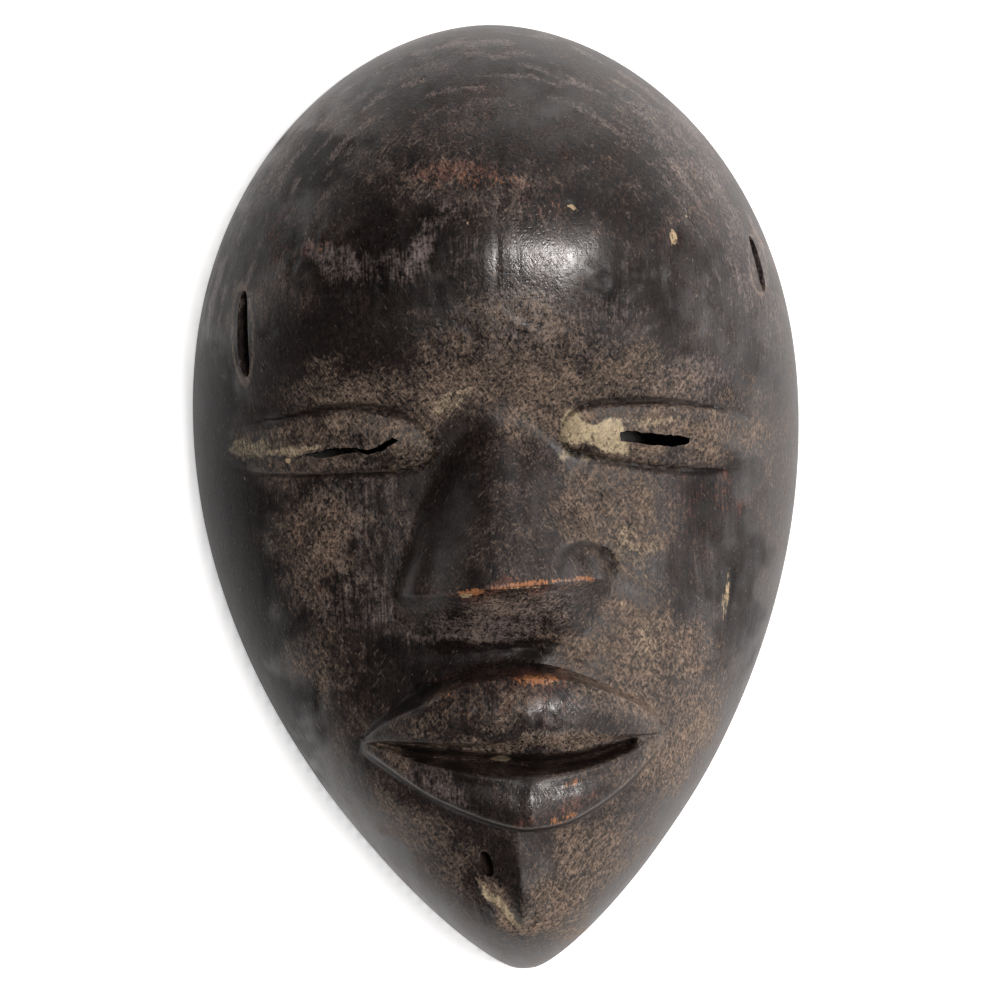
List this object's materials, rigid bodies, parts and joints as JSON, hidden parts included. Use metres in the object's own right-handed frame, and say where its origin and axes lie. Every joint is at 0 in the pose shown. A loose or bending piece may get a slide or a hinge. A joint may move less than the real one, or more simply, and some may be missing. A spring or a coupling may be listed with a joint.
{
  "type": "carved wooden face mask",
  "caption": "Hollow carved face mask with a domed crown, pointed chin, slit eyes, wedge nose and full lips, lying face up on its flat rim.",
  "frame": {"origin": "middle of the flat rim's bounding box, on the rim's plane", "axes": "+Y towards the crown, +X to the viewer's right when the face is seen from in front, +Z out of the face"},
  "size_m": [0.1554, 0.241, 0.0742],
  "materials": {
    "patinated_wood": "dark hand-rubbed patina, semi-gloss, with pale dust in the hollows and bare wood on worn edges"
  },
  "bodies": {
    "root": {"mask": "patinated_wood"}
  },
  "joints": []
}
